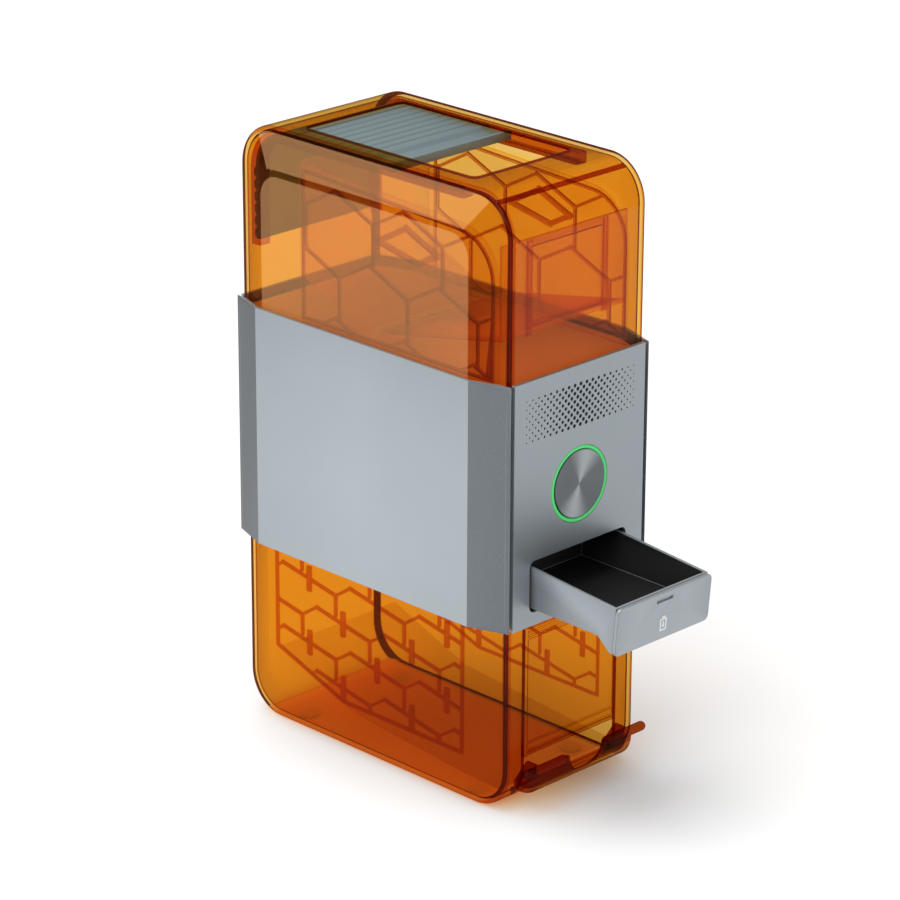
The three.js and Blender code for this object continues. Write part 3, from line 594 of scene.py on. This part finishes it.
def upper_finish(face):
    """The material number of an upper shell's face, or the one that it has already."""
    centre = face.calc_center_median() * 1000
    inside = abs(centre.x) < HATCH["half_width"] + 1 and HATCH["front"] - 1 < centre.y < HATCH["rear"] + 1
    if abs(face.normal.z) < 0.9 and inside and centre.z > HEIGHT - SHELL_WALL - 1:
        return EDGE
    crown_bevel = face.normal.z > 0.25 and abs(face.normal.x) > 0.5
    if face.material_index == PLAIN and crown_bevel:
        return SIDE
    if face.calc_area() < mm(BROAD_FACE) ** 2:
        return face.material_index
    if abs(face.normal.x) > 0.999 and abs(centre.x) > HOUSING["x"] - UPPER["inset"] - 2:
        return SIDE
    if face.normal.y < -0.999 and centre.y < 2 - HOUSING["y"] + UPPER["inset"]:
        return FRONT
    return face.material_index


def lower_finish(face):
    """The material number of a lower shell's face, or the one that it has already."""
    centre = face.calc_center_median() * 1000
    beside_window = abs(centre.x) < WINDOW["half_width"] + 1 and centre.y < WINDOW["depth"] + 1
    if abs(face.normal.x) > 0.9 and beside_window:
        return EDGE
    if abs(face.normal.z) > 0.9 and centre.z < SHELL_WALL + 1:
        return BASE
    return face.material_index


def add_upper_shell():
    middle = (HATCH["front"] + HATCH["rear"]) / 2
    hatch = outline_points(HATCH["half_width"], HATCH["rear"] - middle, HATCH["corner"], 0, middle)
    bm = subtract(shell_mesh(UPPER), [prism([hatch], on_z, HEIGHT - 20, HEIGHT + 5)])
    for face in bm.faces:
        face.material_index = upper_finish(face)
    bevel_edges(bm, 0.5, 2, 50)
    stand_for("upper_shell", bm, SHELL_MATERIALS, 40)


def add_lower_shell():
    half, depth, reach = WINDOW["half_width"], WINDOW["depth"], SCOOP_PIN["reach"]
    window = [(-half, -120), (half, -120), (half, depth), (-half, depth)]
    opening = prism([window], on_z, -5, WINDOW["top"])
    pin_circle = circle_points(SCOOP_PIN["radius"], SCOOP_PIN["y"], SCOOP_PIN["z"], 12)
    pin = prism([pin_circle], on_x, -reach, reach)
    holes = [prism([circle_points(FOOT_HOLE, x, y, 24)], on_z, -5, 1.5) for x, y in FEET]
    bm = subtract(shell_mesh(LOWER), [opening, pin, *holes])
    for face in bm.faces:
        face.material_index = lower_finish(face)
    bevel_edges(bm, 0.4, 2, 50)
    stand_for("lower_shell", bm, SHELL_MATERIALS, 40)


# ---- front panel, button and light ring ---------------------------------------------------------
def grille_circles():
    """Rows of round holes, offset from column to column and smaller towards both ends."""
    circles = []
    middle = (GRILLE["columns"] - 1) / 2
    for i in range(GRILLE["columns"]):
        share = abs(i - middle) / middle
        radius = GRILLE["largest"] + (GRILLE["smallest"] - GRILLE["largest"]) * share**1.3
        rows = 6 if i % 2 == 0 else 5
        for j in range(rows):
            z = GRILLE["z"] + (j - (rows - 1) / 2) * GRILLE["row_pitch"]
            circles.append(circle_points(radius, (i - middle) * GRILLE["pitch"], z, 12))
    return circles


def add_front_panel():
    half_height = (HOUSING["top"] - HOUSING["bottom"]) / 2
    middle = HOUSING["bottom"] + half_height
    sheet = outline_points(PANEL["half_width"], half_height, 0.3, 0, middle, 1)
    bay_half = (BAY["top"] - BAY["bottom"]) / 2
    bay = outline_points(BAY["half_width"], bay_half, BAY["corner"], 0, BAY["bottom"] + bay_half)
    button = circle_points(BUTTON["ring"], 0, BUTTON["z"], 96)
    outlines = [sheet, bay, button, *grille_circles()]
    bm = prism(outlines, on_y, PANEL["front"], PANEL["front"] + PANEL["thickness"])
    stand_for("front_panel", bm, [PANEL_SHADED_METAL])


def lathe(profile, centre_z, sides=96):
    """Turns a profile of (radius, y) points about the button's axis."""
    bm = bmesh.new()
    rings = []
    for radius, y in profile:
        if radius == 0:
            rings.append([bm.verts.new(mm(0, y, centre_z))])
        else:
            rings.append([bm.verts.new(mm(u, y, v)) for u, v in circle_points(radius, 0, centre_z, sides)])
    for a, b in zip(rings, rings[1:]):
        for i in range(sides):
            j = (i + 1) % sides
            if len(a) == 1:
                bm.faces.new((a[0], b[i], b[j]))
            elif len(b) == 1:
                bm.faces.new((a[i], a[j], b[0]))
            else:
                bm.faces.new((a[i], a[j], b[j], b[i]))
    bmesh.ops.recalc_face_normals(bm, faces=bm.faces)
    return bm


def add_button():
    face, radius = BUTTON["face"], BUTTON["radius"]
    cap = [
        (0, face + 0.5),
        (radius * 0.5, face + 0.38),
        (radius - 1.1, face + 0.1),
        (radius - 0.5, face),
        (radius - 0.1, face + 0.2),
        (radius, face + 0.6),
        (radius, face + 2.6),
        (4, face + 2.6),
        (4, face + 9),
        (0, face + 9),
    ]
    stand_for("button_cap", lathe(cap, BUTTON["z"]))
    inner, outer = radius + 0.3, BUTTON["ring"] - 0.3
    ring = [(inner, face + 6), (inner, face + 0.7), (inner + 0.35, face + 0.3), (outer - 0.35, face + 0.2)]
    ring += [(outer, face + 0.5), (outer, face + 6), (inner, face + 6)]
    stand_for("button_ring", lathe(ring, BUTTON["z"]))


# ---- drawer -------------------------------------------------------------------------------------
def drawer_place(x, y, z):
    """A point of the drawer, given as it is when shut and level, in its pulled-out place at rest."""
    turn = Matrix.Rotation(DRAWER_TILT, 3, "X")
    return turn @ (Vector((x, y, z)) - DRAWER_PIVOT_SHUT) + DRAWER_PIVOT


TRAY_INSIDE = {"half_width": 35.4, "front": -105, "rear": -14.5, "low": 124, "high": 149}


def inside_tray(face):
    """Material number 1, black, for the faces that look into the drawer."""
    turn = Matrix.Rotation(-DRAWER_TILT, 3, "X")
    at = turn @ (face.calc_center_median() * 1000 - DRAWER_PIVOT) + DRAWER_PIVOT_SHUT
    normal = turn @ face.normal
    across = abs(at.x) < TRAY_INSIDE["half_width"]
    along = TRAY_INSIDE["front"] < at.y < TRAY_INSIDE["rear"]
    between = TRAY_INSIDE["low"] < at.z < TRAY_INSIDE["high"]
    looks_in = normal.x * at.x < -1e-3 or normal.z > 0.5 or abs(normal.y) > 0.9
    return int(across and along and between and looks_in)


ICON = {"z": 133.4, "half_width": 2.6, "height": 7.4, "line": 0.8, "proud": 0.06}


def add_drawer_icon():
    """A generic battery outline with a small arrow in it, printed on the drawer's front."""
    half, height, line = ICON["half_width"], ICON["height"], ICON["line"]
    middle = ICON["z"] - height / 2
    frame_out = outline_points(half, height / 2, 0.7, 0, middle)
    frame_in = outline_points(half - line, height / 2 - line, 0.4, 0, middle)
    cap = outline_points(half * 0.5, 0.45, 0.2, 0, ICON["z"] + 0.75)
    stem = outline_points(0.35, 1.1, 0.1, 0, middle + 0.8)
    head = [(-1.2, middle - 0.2), (0, middle - 2.0), (1.2, middle - 0.2)]
    front = PANEL["front"]
    for name, outlines in (
        ("drawer_icon_outline", [frame_out, frame_in]),
        ("drawer_icon_cap", [cap]),
        ("drawer_icon_stem", [stem]),
        ("drawer_icon_head", [head]),
    ):
        bm = prism(outlines, on_y, front - ICON["proud"], front + 0.3)
        for vert in bm.verts:
            vert.co = drawer_place(*(vert.co * 1000)) / 1000
        crisp(bm)
        made = new_object(name, mesh_from(bm, name), [ICON_INK])
        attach(made, "drawer")


def add_drawer():
    refine("drawer_tray", 0.35, 2, [MATERIALS["drawer_paint"], MATERIALS["black_plastic"]], inside_tray)
    refine("drawer_front", 0.45, 3)
    refine("drawer_latch", 0.3)
    refine("drawer_carriage", 0.2, 1)
    add_drawer_icon()


# ---- lid link -----------------------------------------------------------------------------------
LINK = {"start": 75.6, "end": 69.2, "travel": 54.5, "slats": 8, "half_width": 45.6}
LINK_LOW, LINK_HIGH, LINK_STEP = 352.4, 356.2, 1.6


def link_rest(shut):
    """Where a point of the link lies at rest, given its distance from the link's start with the lid shut."""
    low, high = 0.0, 1.0
    for _ in range(40):
        t = (low + high) / 2
        reach = (LINK["start"] - LINK["end"]) * t + LINK["travel"] * t * t * (3 - 2 * t)
        low, high = (t, high) if reach < shut else (low, t)
    return LINK["start"] - (LINK["start"] - LINK["end"]) * low


def add_lid_link():
    """The slats between the sliding run and the fixed curtain, folded into the last slat while open."""
    length = LINK["start"] - LINK["end"] + LINK["travel"]
    pitch = length / LINK["slats"]
    top = []
    for i in range(LINK["slats"]):
        at = i * pitch
        top += [(at, LINK_HIGH - LINK_STEP), (at + 0.7, LINK_HIGH), (at + pitch - 1.6, LINK_HIGH)]
        top.append((at + pitch, LINK_HIGH - LINK_STEP))
    bm = bmesh.new()
    rows = []
    for shut, z in top:
        y, x = link_rest(shut), LINK["half_width"]
        section = ((-x, y, z), (x, y, z), (x, y, LINK_LOW), (-x, y, LINK_LOW))
        rows.append([bm.verts.new(mm(*p)) for p in section])
    for a, b in zip(rows, rows[1:]):
        for i in range(4):
            j = (i + 1) % 4
            bm.faces.new((a[i], a[j], b[j], b[i]))
    bm.faces.new(rows[0])
    bm.faces.new(rows[-1])
    bmesh.ops.remove_doubles(bm, verts=bm.verts, dist=1e-7)
    bmesh.ops.recalc_face_normals(bm, faces=bm.faces)
    link = new_object("lid_link", mesh_from(bm, "lid_link"), [MATERIALS["slat_plastic"]])
    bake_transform(link)


# ---- everything that keeps its CAD shape ---------------------------------------------------------
WALL_FACE = 51.1  # a hopper wall's plate ends here, and its ribs stand out beyond
FRAME_FOOT = 279  # the front frame stands above this height
TRACK_RUN = 346  # a lid track runs level above this height
FRAME_FACE = 20  # a frame bar's face is smaller than a square of this side
THIN_FACE = 9  # a plate's narrow face is smaller than a square of this side


def on_outer_ribs(face):
    """Material number 1 for the ribs that stand out from a hopper wall."""
    return int(abs(face.calc_center_median().x) > mm(WALL_FACE))


def on_frame(face):
    """Material number 1 for the uprights and ledges that stand on the hopper's front floor."""
    above = face.calc_center_median().z > mm(FRAME_FOOT)
    return int(above and face.calc_area() < mm(FRAME_FACE) ** 2)


def on_thin_sides(face):
    """Material number 1 for the narrow faces round a plate."""
    return int(face.calc_area() < mm(THIN_FACE) ** 2 or abs(face.normal.x) > 0.9)


def on_flat_run(face):
    """Material number 1 for the part of a lid track that runs under the top opening."""
    return int(face.calc_center_median().z > mm(TRACK_RUN))


def add_refined_parts():
    for side in ("right", "left"):
        refine("side_cover_" + side, 0.5, 2, angle=15)
        refine("lid_track_" + side, 0.3, 1, [AMBER_TRACK, AMBER_LINE], on_flat_run)
        refine("hopper_wall_" + side, 0.3, 1, [AMBER_WALL, AMBER_LINE], on_outer_ribs)
        refine("store_ribs_" + side, 0.35, 1, [AMBER_RIB])
        refine("drawer_rail_" + side, 0.2, 1)
    refine("rear_panel", 0.4, 2, shading=20)
    for node in ("lid_front_slat", "lid_curtain", "lid_curtain_rear"):
        refine(node, 0.35, 2, angle=25)
    refine("hopper_floor_rear", 0.45, 2, [AMBER_FLOOR])
    refine("hopper_floor_front", 0.4, 2, [AMBER_FLOOR, AMBER_RIB], on_frame)
    refine("store_ramp", 0.4, 2)
    refine("front_window", 0.4, 2, [AMBER_SHELL, AMBER_LINE], on_thin_sides)
    refine("outlet_scoop", 0.4, 2, [AMBER_SHELL, AMBER_LINE], on_thin_sides)
    refine("drawer_bay", 0.3, 1)
    refine("upper_deck", 0.4, 2)
    refine("lower_deck", 0.4, 2)
    refine("power_inlet", 0.3, 2)
    for i in range(1, 5):
        refine(f"rear_screw_{i}", 0.3, 2)
        refine(f"foot_{i}", 0.25, 2)


def paint_nodes():
    """Gives every CAD node that is still shown its record material."""
    for part in frame["record"]["subparts"]:
        node = NODES[part["node"]]
        node.data.materials.clear()
        node.data.materials.append(MATERIALS[part["material_slot"]])


# ---- stage --------------------------------------------------------------------------------------
FLOOR_SIZE = 12.0
FLOOR_LEVEL = -0.0004
LIGHT_TARGET = (0, 0, HEIGHT / 2000)


def add_floor():
    bm = bmesh.new()
    half = FLOOR_SIZE / 2
    places = ((-half, -half), (half, -half), (half, half), (-half, half))
    bm.faces.new([bm.verts.new((x, y, FLOOR_LEVEL)) for x, y in places])
    g = Graph("floor")
    surface = g.node("ShaderNodeBsdfPrincipled", Base_Color=(0.93, 0.93, 0.93, 1), Roughness=0.9)
    surface.inputs["Specular IOR Level"].default_value = 0.1
    floor = new_object("floor", mesh_from(bm, "floor"), [g.finish(surface.outputs[0])])


def add_area(name, location, side, power):
    """A square soft box, in metres and watts, turned towards the middle of the station."""
    data = bpy.data.lights.new(name, "AREA")
    data.shape = "RECTANGLE"
    data.size = data.size_y = side
    data.energy = power
    lamp = bpy.data.objects.new(name, data)
    lamp.location = location
    direction = Vector(LIGHT_TARGET) - Vector(location)
    lamp.rotation_euler = direction.to_track_quat("-Z", "Y").to_euler()
    bpy.context.scene.collection.objects.link(lamp)


def add_sun(strength):
    """A broad overhead light, which keeps the floor evenly pale."""
    data = bpy.data.lights.new("overhead", "SUN")
    data.energy = strength
    data.angle = math.radians(50)
    lamp = bpy.data.objects.new("overhead", data)
    lamp.rotation_euler = (math.radians(-12), math.radians(-10), 0)
    bpy.context.scene.collection.objects.link(lamp)


def add_world(strength):
    """Soft light from all round, with a white backdrop beyond the floor."""
    world = bpy.data.worlds.new("studio")
    world.use_nodes = True
    tree = world.node_tree
    background = tree.nodes["Background"]
    background.inputs[0].default_value = (1, 1, 1, 1)
    level = tree.nodes.new("ShaderNodeMapRange")
    level.inputs["To Min"].default_value = strength
    level.inputs["To Max"].default_value = 1.0
    seen = tree.nodes.new("ShaderNodeLightPath").outputs["Is Camera Ray"]
    tree.links.new(seen, level.inputs["Value"])
    tree.links.new(level.outputs[0], background.inputs[1])
    bpy.context.scene.world = world


def add_lights():
    add_world(0.45)
    add_sun(2.1)
    add_area("key", (-1.9, -0.5, 1.3), 1.4, 17)
    add_area("fill", (0.9, -1.9, 1.0), 1.2, 5)


def set_view():
    scene = bpy.context.scene
    scene.view_settings.view_transform = "Standard"
    scene.view_settings.look = "None"
    scene.cycles.transparent_max_bounces = 48
    scene.cycles.use_denoising = True


paint_nodes()
add_upper_shell()
add_lower_shell()
add_front_panel()
add_button()
add_drawer()
add_lid_link()
add_refined_parts()
add_floor()
add_lights()
set_view()
